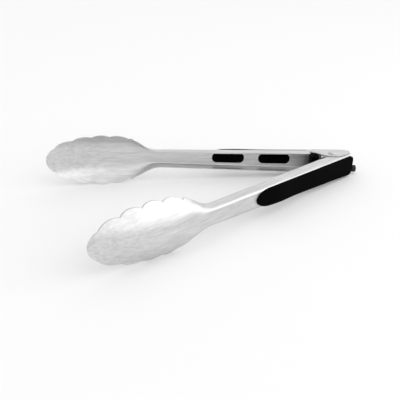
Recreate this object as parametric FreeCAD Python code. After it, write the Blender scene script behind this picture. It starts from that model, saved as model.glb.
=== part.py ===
import FreeCAD, Part
import math
import os

os.makedirs("parts", exist_ok=True)

V = FreeCAD.Vector

# ---------------------------------------------------------------- driving dimensions (mm)
# Arm frame: u runs from the pivot to the tip, v outward from the channel, w along the pivot pin.
SHEET = 0.9              # stainless sheet
TIP_U = 285.0            # pivot to tip of the head
REAR_U = -19.5           # rear end of the arm, behind the pivot
BACK_V0 = 13.3           # outer face of the back at the pivot
BACK_SLOPE = -0.0523     # the back closes in toward the head
HALF_W0 = 10.64          # channel half width at the pivot
HALF_W_SLOPE = -0.0138
DEPTH0 = 12.76           # channel depth at the pivot
DEPTH_SLOPE = -0.0157
BEND_R = 2.4             # outer bend radius of the channel folds
EAR_OUT = 11.7           # outer face of the splayed ears of the far arm
EAR_IN = 10.5            # outer face of the inset ears of the near arm
EAR_STEP_U = (17.0, 26.0)
CHANNEL_END_U = 168.0    # straight tapered channel up to here, then the neck and the head
NECK_U = (168.0, 214.0)  # the folds open out into the dish between these stations
DISH_R = 22.0
DISH_FLAT = 5.0
DISH_ANGLE = 42.0
DISH_LIP = 11.0
SPINE_STATIONS = [(185.0, 3.6), (206.0, 2.1), (224.0, 0.6), (245.0, -3.4), (260.0, -8.7),
                  (277.0, -16.6), (285.0, -20.65), (292.0, -24.3)]

# lip of the opening folds, (u, half width, v), from the channel out to the head
NECK_EDGE = [(160.0, 8.43, -5.32), (168.0, 8.32, -5.61), (176.0, 8.55, -5.85), (182.0, 10.1, -6.05),
             (187.5, 12.9, -6.1), (193.5, 16.8, -5.9), (199.4, 20.1, -5.7), (206.0, 24.0, -8.2),
             (212.0, 27.0, -10.5)]

# scalloped edge of the head: notch points (u, half width), lobe height over the chord
NOTCHES = [(277.4, 12.0), (259.6, 19.6), (241.5, 22.7), (224.0, 23.2), (205.9, 20.7)]
LOBE_RISE = 2.7

OPEN_HALF_DEG = 22.3     # each arm stands this far off the middle line when open
HEAD_STEP = 4.0          # stations this close keep the opening folds smooth
HEAD_STATIONS = [224.0, 232.0, 240.0, 248.0, 256.0, 264.0, 272.0, 280.0, 290.0]
REACH = 60.0             # cutters and trimming prisms run this far, past every face they meet

# edge of the ears, (u, v): round the rear end, then up to the lip of the channel
EAR_LOW_V = -9.0
EAR_REAR = [(REAR_U, 9.6), (REAR_U, 5.7), (-16.5, 1.7), (-12.5, -2.3), (-8.5, -4.9), (-4.0, -6.2),
            (0.0, -6.5), (4.5, -6.5)]
EAR_FRONT_FAR = [(8.5, -5.2), (11.5, -3.2), (22.0, 5.4)]
EAR_FRONT_NEAR = [(8.6, -6.2), (14.0, -3.6)]
LIP_START_FAR = 22.0
LIP_START_NEAR = 20.0
BACK_START_U = -17.0
REAR_CORNER_R = 6.0
REAR_CORNER_V = 10.5

# hook slot in each near ear, (u, v) of both ends of its middle line
HOOK_END = (12.3, -0.19)
HOOK_MOUTH = (21.0, -1.52)
HOOK_R = 1.55

# grip pads and the windows they are locked into
SLOTS = [(40.6, 73.7), (88.4, 121.7)]
SLOT_HALF = 5.3
SLOT_CORNER_R = 4.9
GRIP_U = (-16.0, 127.0)
GRIP_NOSE = 17.0
GRIP_EDGE = 0.5          # the pad stops this far inside the folds
GRIP_T = 1.7
GRIP_HUMP = 1.5
GRIP_HUMP_U = 99.0
GRIP_HUMP_LEN = 17.0
GRIP_REAR_RISE = 0.8     # the pad thickens this much toward the hinge
GRIP_CORNER_R = 5.0
GRIP_RIM_R = 1.1
LUG_PROUD = 0.5          # the lugs stand this far into the pad

# pivot
RIVET_R = 2.8
EAR_HOLE_R = 2.85
RIVET_HEAD_R = 3.8
RIVET_HEAD_H = 1.35
CROWN_H = 1.1            # rise of the dome before its crown is cut flat
RIM_H = 0.45
SLEEVE_R = 4.25
HEAD_GAP = 0.1

# return spring
WIRE_R = 0.75
COIL_R = 5.45
COIL_Z = (-2.0, 7.9)
COIL_TURNS = 6
LEG_U = 27.0
LEG_GAP = 0.12           # between the wire and the back it lies along
ELBOW = 1.03             # ball at the bend, as a share of the wire

# lock slide, carried in the far arm
LOCK_U = (13.9, 21.6)
LOCK_V = (-4.8, 5.4)
LOCK_HALF_H = 9.35
TAIL_V = (5.5, 9.1)
TAIL_Z = (-9.3, -4.0)
TAIL_END_U = -20.6
LOCK_PIN = (18.2, -1.7)
LOCK_PIN_R = 1.2
LOCK_PIN_HALF = 10.45
LOCK_CORNER_R = 0.8
LOCK_WEB = (4.0, 3.0)    # length along u, lowest v
PIN_CHAMFER = 0.25
ROD_R = 1.25
ROD_SEAT = 7.0           # the rod is pressed this far into the tail
ROD_BORE = 9.0
ROD_V = 7.3
ROD_Z = -6.65
KNOB_R = 3.5
KNOB_U = (-28.6, -24.2)
KNOB_END = 1.6           # solid end of the knob behind the rod
KNOB_RIM_R = 1.0


def back_v(u):
    return BACK_V0 + BACK_SLOPE * u


def half_w(u):
    return HALF_W0 + HALF_W_SLOPE * u


def lip_v(u):
    return back_v(u) - (DEPTH0 + DEPTH_SLOPE * u)


def smooth(x):
    x = min(1.0, max(0.0, x))
    return x * x * (3.0 - 2.0 * x)


def mix(a, b, s):
    return a + (b - a) * s


def through(pts, u, col=1):
    """Smooth curve through stations, first column u, any other column by number."""
    for k in range(1, len(pts) - 1):
        if u <= pts[k + 1][0] or k == len(pts) - 2:
            ua, ub = pts[k][0], pts[k + 1][0]
            va, vb = pts[k][col], pts[k + 1][col]
            before = pts[k - 1]
            after = pts[min(k + 2, len(pts) - 1)]
            ma = (vb - before[col]) / (ub - before[0])
            mb = (after[col] - va) / (after[0] - ua)
            h = ub - ua
            t = (u - ua) / h
            return ((2 * t**3 - 3 * t**2 + 1) * va + (t**3 - 2 * t**2 + t) * h * ma
                    + (-2 * t**3 + 3 * t**2) * vb + (t**3 - t**2) * h * mb)


def spine(u):
    """Outer centre line of the arm, straight along the channel, curling in at the head."""
    if u <= CHANNEL_END_U:
        return back_v(u)
    pts = [(CHANNEL_END_U - 20, back_v(CHANNEL_END_U - 20)), (CHANNEL_END_U, back_v(CHANNEL_END_U))]
    return through(pts + SPINE_STATIONS, u)


def section(u, half, flat_v, radius, angle_deg, lip, flat=None):
    """Closed U-shaped sheet section at station u."""
    ang = math.radians(angle_deg)
    a = half - radius if flat is None else flat
    outer, inner = [], []
    for r, pts in ((radius, outer), (radius - SHEET, inner)):
        centre_v = flat_v - radius
        mid = V(u, centre_v + r * math.cos(ang / 2), a + r * math.sin(ang / 2))
        end = V(u, centre_v + r * math.cos(ang), a + r * math.sin(ang))
        tip = end + V(0, -math.sin(ang), math.cos(ang)) * lip
        pts += [V(u, centre_v + r, a), mid, end, tip]

    def flip(p):
        return V(p.x, p.y, -p.z)

    o, i = outer, inner
    edges = [
        Part.makeLine(flip(o[3]), flip(o[2])),
        Part.Arc(flip(o[2]), flip(o[1]), flip(o[0])).toShape(),
        Part.makeLine(flip(o[0]), o[0]),
        Part.Arc(o[0], o[1], o[2]).toShape(),
        Part.makeLine(o[2], o[3]),
        Part.makeLine(o[3], i[3]),
        Part.makeLine(i[3], i[2]),
        Part.Arc(i[2], i[1], i[0]).toShape(),
        Part.makeLine(i[0], flip(i[0])),
        Part.Arc(flip(i[0]), flip(i[1]), flip(i[2])).toShape(),
        Part.makeLine(flip(i[2]), flip(i[3])),
        Part.makeLine(flip(i[3]), flip(o[3])),
    ]
    return Part.Wire(edges)


def channel_section(u, half, low_v):
    return section(u, half, back_v(u), BEND_R, 90.0, back_v(u) - BEND_R - low_v)


def head_section(u):
    """Neck and head: the folds lay open while the lip swings out to the edge of the dish."""
    if u <= NECK_U[0]:
        return channel_section(u, half_w(u), lip_v(u))
    s = smooth((u - NECK_U[0]) / (NECK_U[1] - NECK_U[0]))
    flat = mix(half_w(u) - BEND_R, DISH_FLAT, s)
    angle = mix(90.0, DISH_ANGLE, s)
    if u <= NECK_EDGE[-2][0]:
        sine = math.sin(math.radians(angle))
        cosine = math.cos(math.radians(angle))
        reach = through(NECK_EDGE, u, 1) - flat
        drop = spine(u) - through(NECK_EDGE, u, 2)
        det = sine * sine - cosine * (1 - cosine)
        radius = (reach * sine - cosine * drop) / det
        lip = (sine * drop - (1 - cosine) * reach) / det
    else:
        t = smooth((u - NECK_EDGE[-2][0]) / 10.0)
        radius = mix(21.5, DISH_R, t)
        lip = mix(5.0, DISH_LIP, t)
    return section(u, 0, spine(u), radius, angle, lip, flat)


def prism_uv(points, w0, w1):
    """Extrude a closed (u, v) outline along the pivot direction."""
    face = Part.Face(Part.makePolygon([V(p[0], p[1], w0) for p in points + points[:1]]))
    return face.extrude(V(0, 0, w1 - w0))


def prism_wire_uv(edges, height):
    return Part.Face(Part.Wire(edges)).extrude(V(0, 0, height))


def head_outline():
    """Plan outline of the whole arm, (u, w) in the plane v = 0, scalloped around the head."""
    def at(u, w):
        return V(u, 0, w)

    edges = [Part.Arc(at(NOTCHES[0][0], NOTCHES[0][1]), at(TIP_U, 0),
                      at(NOTCHES[0][0], -NOTCHES[0][1])).toShape()]
    side = []
    for k in range(len(NOTCHES) - 1):
        a, b = V(NOTCHES[k][0], 0, NOTCHES[k][1]), V(NOTCHES[k + 1][0], 0, NOTCHES[k + 1][1])
        chord = b - a
        normal = V(chord.z, 0, -chord.x)
        normal.normalize()
        mid = (a + b) * 0.5 + normal * LOBE_RISE
        side.append((a, mid, b))
    last = NOTCHES[-1]
    neck = NECK_EDGE[-3]
    side.append((V(last[0], 0, last[1]), V(202.5, 0, 21.3), V(neck[0], 0, neck[1])))
    for sign in (1, -1):
        def put(p):
            return V(p.x, 0, p.z * sign)
        for a, m, b in side:
            edges.append(Part.Arc(put(a), put(m), put(b)).toShape())
        edges.append(Part.makeLine(at(neck[0], neck[1] * sign), at(neck[0] - 2.0, sign * 40)))
        edges.append(Part.makeLine(at(neck[0] - 2.0, sign * 40), at(-40, sign * 40)))
    edges.append(Part.makeLine(at(-40, 40), at(-40, -40)))
    wire = Part.Wire(Part.__sortEdges__(edges))
    face = Part.Face(wire)
    face.translate(V(0, -60, 0))
    return face.extrude(V(0, 120, 0))


def side_profile(far):
    """Everything of the arm that stays, seen along the pivot pin."""
    front = EAR_FRONT_FAR if far else EAR_FRONT_NEAR
    lip_start = LIP_START_FAR if far else LIP_START_NEAR
    past_tip = TIP_U + 35.0
    keep = EAR_REAR + front + [(lip_start, lip_v(lip_start)), (CHANNEL_END_U, lip_v(CHANNEL_END_U))]
    keep += [(CHANNEL_END_U + 0.2, -REACH), (past_tip, -REACH), (past_tip, 40.0)]
    keep += [(BACK_START_U, 40.0), (BACK_START_U, back_v(0) + 1.0)]
    return prism_uv(keep, -REACH, REACH)


def slot_cutter(u0, u1, half, radius, v0, v1):
    box = Part.makeBox(u1 - u0, v1 - v0, 2 * half, V(u0, v0, -half))
    edges = [e for e in box.Edges if abs(e.Vertexes[0].Y - e.Vertexes[-1].Y) > 0.5 * (v1 - v0)]
    return box.makeFillet(radius, edges)


def window_cutter(u0, u1):
    """Window through the back, square to the back face."""
    tool = slot_cutter(u0, u1, SLOT_HALF, SLOT_CORNER_R, -6.0, 8.0)
    mid = 0.5 * (u0 + u1)
    tool.translate(V(0, back_v(mid), 0))
    tool.rotate(V(mid, back_v(mid), 0), V(0, 0, 1), math.degrees(math.atan(BACK_SLOPE)))
    return tool


def channel(far):
    """Ears and tapered channel as straight lofts, folds left long for trimming."""
    ear = EAR_OUT if far else EAR_IN
    stations = [(REAR_U - 3, ear, EAR_LOW_V), (EAR_STEP_U[0], ear, EAR_LOW_V),
                (EAR_STEP_U[1], half_w(EAR_STEP_U[1]), EAR_LOW_V),
                (CHANNEL_END_U, half_w(CHANNEL_END_U), lip_v(CHANNEL_END_U))]
    pieces = []
    for rear, front in zip(stations, stations[1:]):
        pieces.append(Part.makeLoft([channel_section(*rear), channel_section(*front)], True, True))
    return pieces[0].fuse(pieces[1]).fuse(pieces[2])


def rear_corner(half, sign):
    """What is cut off one rear corner of the back, leaving a round of REAR_CORNER_R."""
    r = REAR_CORNER_R
    corner = Part.makeBox(r, REACH, r, V(REAR_U, -20, 0))
    corner = corner.cut(Part.makeCylinder(r, REACH, V(REAR_U + r, -20, 0), V(0, 1, 0)))
    corner.translate(V(0, 0, half - r))
    corner = corner.common(Part.makeBox(REACH, REACH, 20, V(-40, REAR_CORNER_V, half - r)))
    return corner if sign > 0 else corner.mirror(V(0, 0, 0), V(0, 0, 1))


def hook_slot():
    """Slot that the lock pin drops into when the tongs are closed."""
    end = V(HOOK_END[0], HOOK_END[1], -REACH / 2)
    mouth = V(HOOK_MOUTH[0], HOOK_MOUTH[1], -REACH / 2)
    along = mouth - end
    across = V(-along.y, along.x, 0)
    across.normalize()
    across = across * HOOK_R
    outline = [end + across, mouth + across, mouth - across, end - across, end + across]
    slot = Part.Face(Part.makePolygon(outline)).extrude(V(0, 0, REACH))
    return slot.fuse(Part.makeCylinder(HOOK_R, REACH, end))


def make_arm(far):
    """Pressed arm: trimmed channel with its ears, scalloped head, windows and pivot holes."""
    neck_end = NECK_U[1] + 2.0
    steps = int((neck_end - CHANNEL_END_U) / HEAD_STEP) + 1
    stations = [CHANNEL_END_U + HEAD_STEP * k for k in range(steps)] + HEAD_STATIONS
    head = Part.makeLoft([head_section(u) for u in stations], True, False)
    arm = channel(far).common(side_profile(far)).fuse(head.common(head_outline()))
    for sign in (1, -1):
        arm = arm.cut(rear_corner(EAR_OUT if far else EAR_IN, sign))
    for u0, u1 in SLOTS:
        arm = arm.cut(window_cutter(u0, u1))
    hole = EAR_HOLE_R if far else RIVET_R
    arm = arm.cut(Part.makeCylinder(hole, REACH, V(0, 0, -REACH / 2)))
    if not far:
        arm = arm.cut(hook_slot())
    return arm.removeSplitter()


def pad_block():
    """Pad in side view, its humped top over the back of the channel, left wide."""
    steps = 40
    top = []
    for k in range(steps + 1):
        u = mix(GRIP_U[0] - 4, GRIP_U[1] + 6, k / steps)
        hump = GRIP_HUMP * math.exp(-((u - GRIP_HUMP_U) / GRIP_HUMP_LEN) ** 2)
        rear = GRIP_REAR_RISE * smooth((12.0 - u) / 30.0)
        top.append(V(u, back_v(u) + GRIP_T + hump + rear, -20))
    curve = Part.BSplineCurve()
    curve.interpolate(top)
    first, last = top[0], top[-1]
    low_first = V(first.x, back_v(first.x), -20)
    low_last = V(last.x, back_v(last.x), -20)
    return prism_wire_uv([curve.toShape(), Part.makeLine(last, low_last),
                          Part.makeLine(low_last, low_first), Part.makeLine(low_first, first)], 40)


def pad_outline():
    """Pad in plan view, rounded rear corners and a long rounded front."""
    def at(u, w):
        return V(u, 0, w)

    rear, tip = GRIP_U
    front = tip - GRIP_NOSE
    w_rear = half_w(rear) - GRIP_EDGE
    w_front = half_w(front) - GRIP_EDGE
    r = GRIP_CORNER_R
    s = r * (1 - math.sqrt(0.5))
    nose = Part.BSplineCurve()
    nose.interpolate([at(front + GRIP_NOSE * math.sin(a), w_front * math.cos(a))
                      for a in [math.radians(d) for d in range(0, 181, 15)]])
    edges = [
        Part.Arc(at(rear, w_rear - r), at(rear + s, w_rear - s), at(rear + r, w_rear)).toShape(),
        Part.makeLine(at(rear + r, w_rear), at(front, w_front)),
        nose.toShape(),
        Part.makeLine(at(front, -w_front), at(rear + r, -w_rear)),
        Part.Arc(at(rear + r, -w_rear), at(rear + s, -w_rear + s), at(rear, -w_rear + r)).toShape(),
        Part.makeLine(at(rear, -w_rear + r), at(rear, w_rear - r)),
    ]
    face = Part.Face(Part.Wire(Part.__sortEdges__(edges)))
    face.translate(V(0, -10, 0))
    return face.extrude(V(0, REACH, 0))


def make_grip():
    """Rubber pad over the back of the handle, with two lugs that fill the windows."""
    pad = pad_block().common(pad_outline())
    rim = []
    for edge in pad.Edges:
        box = edge.BoundBox
        lift = min(p.Point.y - back_v(p.Point.x) for p in edge.Vertexes)
        if lift > 1.0 and box.XLength + box.ZLength > 0.1:
            rim.append(edge)
    pad = pad.makeFillet(GRIP_RIM_R, rim)
    for u0, u1 in SLOTS:
        mid = 0.5 * (u0 + u1)
        keep = Part.makeBox(80, SHEET + LUG_PROUD, 40, V(mid - 40, back_v(mid) - SHEET, -20))
        keep.rotate(V(mid, back_v(mid), 0), V(0, 0, 1), math.degrees(math.atan(BACK_SLOPE)))
        pad = pad.fuse(window_cutter(u0, u1).common(keep))
    return pad.removeSplitter()


def dome(z, up):
    """Low domed rivet head with a small flat crown, standing on the plane z."""
    ball = (RIVET_HEAD_R ** 2 + CROWN_H ** 2) / (2 * CROWN_H)
    solid = Part.makeCylinder(RIVET_HEAD_R, RIVET_HEAD_H)
    solid = solid.common(Part.makeSphere(ball, V(0, 0, RIM_H + CROWN_H - ball)))
    if not up:
        solid.rotate(V(0, 0, 0), V(1, 0, 0), 180)
    solid.translate(V(0, 0, z))
    return solid


def make_rivet():
    z = EAR_OUT + HEAD_GAP
    shank = Part.makeCylinder(RIVET_R, 2 * z, V(0, 0, -z))
    return shank.fuse(dome(z, True)).fuse(dome(-z, False)).removeSplitter()


def make_sleeve():
    half = EAR_IN - SHEET
    bore = Part.makeCylinder(RIVET_R, REACH, V(0, 0, -REACH / 2))
    return Part.makeCylinder(SLEEVE_R, 2 * half, V(0, 0, -half)).cut(bore)


def make_spring():
    """Torsion spring: close coil round the sleeve, one leg along each arm's back."""
    half = math.radians(OPEN_HALF_DEG)

    def place(u, v, z, far):
        d = V(-math.cos(half), math.sin(half) * (1 if far else -1), 0)
        n = V(math.sin(half), math.cos(half) * (1 if far else -1), 0)
        return d * u + n * v + V(0, 0, z)

    v_leg = back_v(LEG_U) - SHEET - WIRE_R - LEG_GAP
    # the leg leaves the coil on a tangent and ends beside the back at LEG_U
    dist = math.hypot(LEG_U, v_leg)
    phi = math.atan2(v_leg, LEG_U)
    touch = phi + math.acos(COIL_R / dist)
    tu, tv = COIL_R * math.cos(touch), COIL_R * math.sin(touch)
    near_touch = place(tu, tv, COIL_Z[0], False)
    far_touch = place(tu, tv, COIL_Z[1], True)
    a0 = math.atan2(near_touch.y, near_touch.x)
    a1 = math.atan2(far_touch.y, far_touch.x)
    # turning from the near leg over the mouth side, counter to the far leg
    total = (a1 - a0) % (2 * math.pi)
    total += 2 * math.pi * (COIL_TURNS - 1)
    height = COIL_Z[1] - COIL_Z[0]
    path = Part.makeHelix(height * 2 * math.pi / total, height, COIL_R)
    path.rotate(V(0, 0, 0), V(0, 0, 1), math.degrees(a0))
    path.translate(V(0, 0, COIL_Z[0]))
    start = V(COIL_R * math.cos(a0), COIL_R * math.sin(a0), COIL_Z[0])
    finish = V(COIL_R * math.cos(a1), COIL_R * math.sin(a1), COIL_Z[1])
    heading = V(-math.sin(a0) * COIL_R, math.cos(a0) * COIL_R, height / total)
    ring = Part.Wire(Part.makeCircle(WIRE_R, start, heading))
    spring = Part.Wire(path.Edges).makePipeShell([ring], True, True)
    wire_ends = []
    for corner, is_far, z in ((start, False, COIL_Z[0]), (finish, True, COIL_Z[1])):
        tip = place(LEG_U, v_leg, z, is_far)
        leg = Part.makeCylinder(WIRE_R, (tip - corner).Length, corner, tip - corner)
        wire_ends.append(leg.fuse(Part.makeSphere(WIRE_R * ELBOW, corner)))
    return spring.multiFuse(wire_ends)


def make_lock_slide():
    head = Part.makeBox(LOCK_U[1] - LOCK_U[0], LOCK_V[1] - LOCK_V[0], 2 * LOCK_HALF_H,
                        V(LOCK_U[0], LOCK_V[0], -LOCK_HALF_H))
    tall = [e for e in head.Edges if abs(e.BoundBox.ZLength) > 10]
    head = head.makeFillet(LOCK_CORNER_R, tall)
    tail = Part.makeBox(LOCK_U[0] + 3 - TAIL_END_U, TAIL_V[1] - TAIL_V[0], TAIL_Z[1] - TAIL_Z[0],
                        V(TAIL_END_U, TAIL_V[0], TAIL_Z[0]))
    web = Part.makeBox(LOCK_WEB[0], TAIL_V[1] - LOCK_WEB[1], TAIL_Z[1] - TAIL_Z[0],
                       V(LOCK_U[0], LOCK_WEB[1], TAIL_Z[0]))
    slide = head.fuse(tail).fuse(web)
    slide = slide.cut(Part.makeCylinder(LOCK_PIN_R, REACH, V(LOCK_PIN[0], LOCK_PIN[1], -REACH / 2)))
    rod_end = V(TAIL_END_U + ROD_SEAT, ROD_V, ROD_Z)
    slide = slide.cut(Part.makeCylinder(ROD_R, ROD_BORE, rod_end, V(-1, 0, 0)))
    return slide.removeSplitter()


def make_lock_pin():
    pin = Part.makeCylinder(LOCK_PIN_R, 2 * LOCK_PIN_HALF, V(LOCK_PIN[0], LOCK_PIN[1], -LOCK_PIN_HALF))
    return pin.makeChamfer(PIN_CHAMFER, [e for e in pin.Edges if e.BoundBox.ZLength < 0.01])


def make_rod():
    rod_end = V(TAIL_END_U + ROD_SEAT, ROD_V, ROD_Z)
    length = rod_end.x - (KNOB_U[0] + KNOB_END)
    return Part.makeCylinder(ROD_R, length, rod_end, V(-1, 0, 0))


def make_knob():
    length = KNOB_U[1] - KNOB_U[0]
    knob = Part.makeCylinder(KNOB_R, length, V(KNOB_U[1], ROD_V, ROD_Z), V(-1, 0, 0))
    knob = knob.makeFillet(KNOB_RIM_R, [e for e in knob.Edges if e.BoundBox.XLength < 0.01])
    return knob.cut(Part.makeCylinder(ROD_R, length - KNOB_END, V(KNOB_U[1], ROD_V, ROD_Z), V(-1, 0, 0)))


def to_tongs(shape, far):
    """Arm frame to the tongs frame: heads toward -X, far arm toward +Y, pivot pin along Z."""
    s = shape.copy()
    if far:
        s = s.mirror(V(0, 0, 0), V(1, 0, 0))
        s.rotate(V(0, 0, 0), V(0, 0, 1), -OPEN_HALF_DEG)
    else:
        s.rotate(V(0, 0, 0), V(0, 0, 1), 180)
        s.rotate(V(0, 0, 0), V(0, 0, 1), OPEN_HALF_DEG)
    return s


near = make_arm(False)
far = make_arm(True)
grip = make_grip()
pieces = {
    "near_arm": to_tongs(near, False),
    "far_arm": to_tongs(far, True),
    "near_grip": to_tongs(grip, False),
    "far_grip": to_tongs(grip, True),
    "pivot_rivet": make_rivet(),
    "spacer_sleeve": make_sleeve(),
    "return_spring": make_spring(),
    "lock_slide": to_tongs(make_lock_slide(), True),
    "lock_pin": to_tongs(make_lock_pin(), True),
    "pull_rod": to_tongs(make_rod(), True),
    "pull_knob": to_tongs(make_knob(), True),
}

# the tongs lie on their side: both heads and the lower rivet head touch the table
half = math.radians(OPEN_HALF_DEG)
head_low_u = 232.7
head_low_w = 0.5 * (NOTCHES[2][1] + NOTCHES[3][1]) + LOBE_RISE
foot_z = EAR_OUT + HEAD_GAP + RIVET_HEAD_H
REST_TILT = math.degrees(math.atan2(head_low_w - foot_z, head_low_u * math.cos(half)))
for name in pieces:
    pieces[name].rotate(V(0, 0, 0), V(0, 1, 0), REST_TILT)

total = None
for shape in pieces.values():
    box = shape.optimalBoundingBox(True, False)
    if total is None:
        total = FreeCAD.BoundBox(box)
    else:
        total.add(box)
shift = V(-(total.XMin + total.XMax) / 2, -(total.YMin + total.YMax) / 2, -total.ZMin)
for name, shape in pieces.items():
    shape.translate(shift)
    shape.exportStep("parts/%s.step" % name)
    print(name, shape.ShapeType, len(shape.Solids), shape.isValid(), round(shape.Volume, 1))
print("tilt", REST_TILT, "shift", shift, "box", total)
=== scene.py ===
import math
import bpy
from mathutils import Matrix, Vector


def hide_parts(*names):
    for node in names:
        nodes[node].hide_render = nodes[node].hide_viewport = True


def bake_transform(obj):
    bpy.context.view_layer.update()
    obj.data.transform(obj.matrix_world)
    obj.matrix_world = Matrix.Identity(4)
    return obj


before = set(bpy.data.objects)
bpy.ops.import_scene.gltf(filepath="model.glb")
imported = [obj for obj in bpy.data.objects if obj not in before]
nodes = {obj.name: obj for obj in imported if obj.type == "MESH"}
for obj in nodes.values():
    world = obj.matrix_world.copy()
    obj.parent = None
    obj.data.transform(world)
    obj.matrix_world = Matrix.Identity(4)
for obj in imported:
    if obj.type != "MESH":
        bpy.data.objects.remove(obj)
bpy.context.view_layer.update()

# ------------------------------------------------------------------ numbers of the object (metres)
HALF_OPEN = math.radians(22.3)      # each arm off the middle line

# ------------------------------------------------------------------ numbers of the looks
STEEL_TONE = 0.66
STEEL_ROUGH = 0.42
GRAIN = (-0.12, 0.1)                # darkest and lightest streak against the tone
CLOUD = 0.02
FINE_STREAKS = (14.0, 900.0, 900.0)     # noise scale along, and twice across, the arm
BROAD_STREAKS = (32.0, 420.0, 420.0)
EVEN = (1.0, 1.0, 1.0)
NO_TURN = (0.0, 0.0, 0.0)
MATT_SPECULAR = 0.02
FLOOR_TONE = 0.91

# name, place, width, watts; each is aimed at the origin
LAMPS = (("overhead", (0.5, -0.6, 1.2), 1.2, 0.6),
         ("right", (1.0, -0.6, 0.6), 0.8, 1.2))

# the white room falls off to the left, to the back and from the horizon up to straight overhead:
# axis, where the change starts and ends, level at each
ROOM_LEVEL = 1.57
ROOM_FALL = (("X", -0.7, 0.5, 0.6, 1.0),
             ("Y", 0.0, 0.85, 1.0, 0.6),
             ("Z", 0.0, 0.6, 1.05, 1.0),
             ("Z", 0.6, 1.0, 1.0, 0.7))

CAMERA_PLACE = (-0.2085, -0.4389, 0.2428)
CAMERA_TURN = (63.14, 0.51, -22.97)     # degrees
CAMERA_LENS = 50.7

scene = bpy.context.scene


# ------------------------------------------------------------------ material helpers
class Graph:
    """A material's node tree, with the few kinds of node that the looks need."""

    def __init__(self, name):
        self.mat = bpy.data.materials.new(name)
        self.mat.use_nodes = True
        self.tree = self.mat.node_tree
        self.tree.nodes.clear()
        self.out = self.add("ShaderNodeOutputMaterial")
        self.bsdf = self.add("ShaderNodeBsdfPrincipled")
        self.link(self.bsdf.outputs[0], self.out.inputs["Surface"])

    def add(self, kind, **inputs):
        node = self.tree.nodes.new(kind)
        for key, value in inputs.items():
            node.inputs[key.replace("_", " ")].default_value = value
        return node

    def link(self, a, b):
        self.tree.links.new(a, b)

    def coords(self, turn, scale):
        """Object coordinates turned so X runs along the piece, then scaled."""
        tc = self.add("ShaderNodeTexCoord")
        rot = self.add("ShaderNodeMapping")
        rot.vector_type = "POINT"
        rot.inputs["Rotation"].default_value = turn
        self.link(tc.outputs["Object"], rot.inputs["Vector"])
        size = self.add("ShaderNodeMapping")
        size.inputs["Scale"].default_value = scale
        self.link(rot.outputs[0], size.inputs["Vector"])
        return size.outputs[0]

    def noise(self, vector, scale, detail, rough):
        n = self.add("ShaderNodeTexNoise", Scale=scale, Detail=detail, Roughness=rough)
        self.link(vector, n.inputs["Vector"])
        return n.outputs["Fac"]

    def span(self, value, low, high, from_low=0.3, from_high=0.7):
        """Spread the middle of a noise value over low to high."""
        m = self.add("ShaderNodeMapRange")
        m.inputs["From Min"].default_value = from_low
        m.inputs["From Max"].default_value = from_high
        m.inputs["To Min"].default_value = low
        m.inputs["To Max"].default_value = high
        self.link(value, m.inputs["Value"])
        return m.outputs[0]

    def grey(self, value):
        c = self.add("ShaderNodeCombineColor")
        for k in range(3):
            self.link(value, c.inputs[k])
        return c.outputs[0]

    def math(self, op, a, b):
        m = self.add("ShaderNodeMath")
        m.operation = op
        for k, v in enumerate((a, b)):
            if isinstance(v, (int, float)):
                m.inputs[k].default_value = v
            else:
                self.link(v, m.inputs[k])
        return m.outputs[0]

    def bump(self, height, strength, distance, base=None):
        b = self.add("ShaderNodeBump", Strength=strength, Distance=distance)
        self.link(height, b.inputs["Height"])
        if base is not None:
            self.link(base, b.inputs["Normal"])
        return b.outputs[0]


def brushed(name, side):
    """Stainless sheet brushed along the arm. side is -1 for the near arm, 1 for the far arm."""
    g = Graph(name)
    turn = (0.0, 0.0, side * HALF_OPEN)
    fine = g.noise(g.coords(turn, FINE_STREAKS), 1.0, 4.0, 0.6)
    broad = g.noise(g.coords(turn, BROAD_STREAKS), 1.0, 3.0, 0.55)
    cloud = g.noise(g.coords(NO_TURN, EVEN), 38.0, 3.0, 0.5)
    mixed = g.math("ADD", g.math("MULTIPLY", fine, 0.45), g.math("MULTIPLY", broad, 0.55))
    darkest, lightest = STEEL_TONE + GRAIN[0], STEEL_TONE + GRAIN[1]
    value = g.math("ADD", g.span(mixed, darkest, lightest, 0.32, 0.68), g.span(cloud, -CLOUD, CLOUD))
    g.link(g.grey(value), g.bsdf.inputs["Base Color"])
    g.link(g.span(mixed, STEEL_ROUGH - 0.05, STEEL_ROUGH + 0.08), g.bsdf.inputs["Roughness"])
    g.bsdf.inputs["Metallic"].default_value = 1.0
    g.bsdf.inputs["Anisotropic"].default_value = 0.35
    first = g.bump(fine, 0.35, 0.00004)
    g.link(g.bump(broad, 0.25, 0.00012, first), g.bsdf.inputs["Normal"])
    return g.mat


def matt(name, tone, rough):
    """Rubber, nylon and black oxide: dark, fine grained and nearly without a gloss."""
    g = Graph(name)
    vec = g.coords(NO_TURN, EVEN)
    grain = g.noise(vec, 2600.0, 2.0, 0.6)
    cloud = g.noise(vec, 60.0, 3.0, 0.5)
    g.link(g.grey(g.span(cloud, tone * 0.8, tone * 1.3)), g.bsdf.inputs["Base Color"])
    g.link(g.span(cloud, rough - 0.04, rough + 0.05), g.bsdf.inputs["Roughness"])
    g.bsdf.inputs["Specular IOR Level"].default_value = MATT_SPECULAR
    g.link(g.bump(grain, 0.25, 0.00005), g.bsdf.inputs["Normal"])
    return g.mat


def turned(name, tone, rough):
    """Bare round steel: rivet, sleeve, rod and spring wire."""
    g = Graph(name)
    vec = g.coords(NO_TURN, EVEN)
    grain = g.noise(vec, 900.0, 3.0, 0.6)
    cloud = g.noise(vec, 120.0, 2.0, 0.5)
    g.link(g.grey(g.span(cloud, tone - 0.04, tone + 0.03)), g.bsdf.inputs["Base Color"])
    g.link(g.span(grain, rough - 0.05, rough + 0.06), g.bsdf.inputs["Roughness"])
    g.bsdf.inputs["Metallic"].default_value = 1.0
    g.link(g.bump(grain, 0.15, 0.00003), g.bsdf.inputs["Normal"])
    return g.mat


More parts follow.
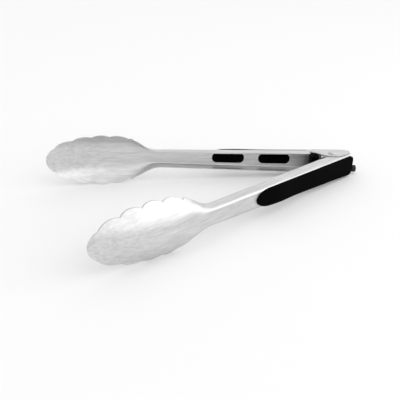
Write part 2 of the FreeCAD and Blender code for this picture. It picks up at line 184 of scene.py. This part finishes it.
def paint(obj, material):
    if not obj.material_slots:
        obj.data.materials.append(material)
    for s in obj.material_slots:
        s.material = material


steel_near = brushed("brushed_steel_near", -1)
steel_far = brushed("brushed_steel_far", 1)
black_rubber = matt("black_rubber", 0.0006, 0.62)
black_oxide = matt("blackened_steel", 0.004, 0.35)
black_nylon = matt("black_nylon", 0.003, 0.5)
grey_nylon = matt("dark_grey_nylon", 0.03, 0.5)
bright_steel = turned("bright_steel", 0.60, 0.26)
spring_wire = turned("spring_wire", 0.46, 0.30)

LOOKS = {
    "near_arm": steel_near,
    "far_arm": steel_far,
    "near_grip": black_rubber,
    "far_grip": black_rubber,
    "pivot_rivet": bright_steel,
    "spacer_sleeve": bright_steel,
    "lock_pin": black_oxide,
    "pull_rod": bright_steel,
    "lock_slide": black_nylon,
    "pull_knob": grey_nylon,
}
for node_name, look in LOOKS.items():
    paint(nodes[node_name], look)

# ------------------------------------------------------------------ return spring, a copy of the CAD coil
cad_spring = nodes["return_spring"]
coil = bpy.data.objects.new("return_spring_wire", cad_spring.data.copy())
scene.collection.objects.link(coil)
coil.matrix_world = cad_spring.matrix_world.copy()
paint(coil, spring_wire)
bpy.context.view_layer.update()
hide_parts("return_spring")
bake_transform(coil)

# ------------------------------------------------------------------ floor
bpy.ops.mesh.primitive_plane_add(size=8.0, location=(0, 0, -0.0002))
floor = bpy.context.object
floor.name = "floor"
floor_mat = Graph("pale_floor")
floor_mat.bsdf.inputs["Base Color"].default_value = (FLOOR_TONE, FLOOR_TONE, FLOOR_TONE, 1)
floor_mat.bsdf.inputs["Roughness"].default_value = 0.9
floor_mat.bsdf.inputs["Specular IOR Level"].default_value = 0.1
paint(floor, floor_mat.mat)


# ------------------------------------------------------------------ light
def lamp(name, place, size, power):
    """Square soft light aimed at the origin."""
    data = bpy.data.lights.new(name, "AREA")
    data.shape = "SQUARE"
    data.size = size
    data.energy = power
    obj = bpy.data.objects.new(name, data)
    scene.collection.objects.link(obj)
    obj.location = place
    obj.rotation_euler = (-Vector(place)).to_track_quat("-Z", "Y").to_euler()


def white_room():
    """World light: one level, multiplied by the falls along the axes."""
    world = bpy.data.worlds.new("studio")
    scene.world = world
    world.use_nodes = True
    sky = world.node_tree
    background = sky.nodes["Background"]
    background.inputs["Strength"].default_value = ROOM_LEVEL
    coords = sky.nodes.new("ShaderNodeTexCoord")
    split = sky.nodes.new("ShaderNodeSeparateXYZ")
    sky.links.new(coords.outputs["Generated"], split.inputs[0])
    level = None
    for axis, low, high, at_low, at_high in ROOM_FALL:
        fall = sky.nodes.new("ShaderNodeMapRange")
        fall.interpolation_type = "SMOOTHSTEP"
        fall.inputs["From Min"].default_value = low
        fall.inputs["From Max"].default_value = high
        fall.inputs["To Min"].default_value = at_low
        fall.inputs["To Max"].default_value = at_high
        sky.links.new(split.outputs[axis], fall.inputs["Value"])
        if level is None:
            level = fall.outputs[0]
            continue
        product = sky.nodes.new("ShaderNodeMath")
        product.operation = "MULTIPLY"
        sky.links.new(level, product.inputs[0])
        sky.links.new(fall.outputs[0], product.inputs[1])
        level = product.outputs[0]
    sky.links.new(level, background.inputs["Color"])


for lamp_name, lamp_place, lamp_size, lamp_power in LAMPS:
    lamp(lamp_name, lamp_place, lamp_size, lamp_power)
white_room()
scene.view_settings.view_transform = "Standard"

# ------------------------------------------------------------------ camera
cam_data = bpy.data.cameras.new("camera")
cam_data.lens = CAMERA_LENS
cam_data.sensor_width = 36.0
camera = bpy.data.objects.new("camera", cam_data)
scene.collection.objects.link(camera)
camera.location = CAMERA_PLACE
camera.rotation_euler = tuple(math.radians(a) for a in CAMERA_TURN)
scene.camera = camera
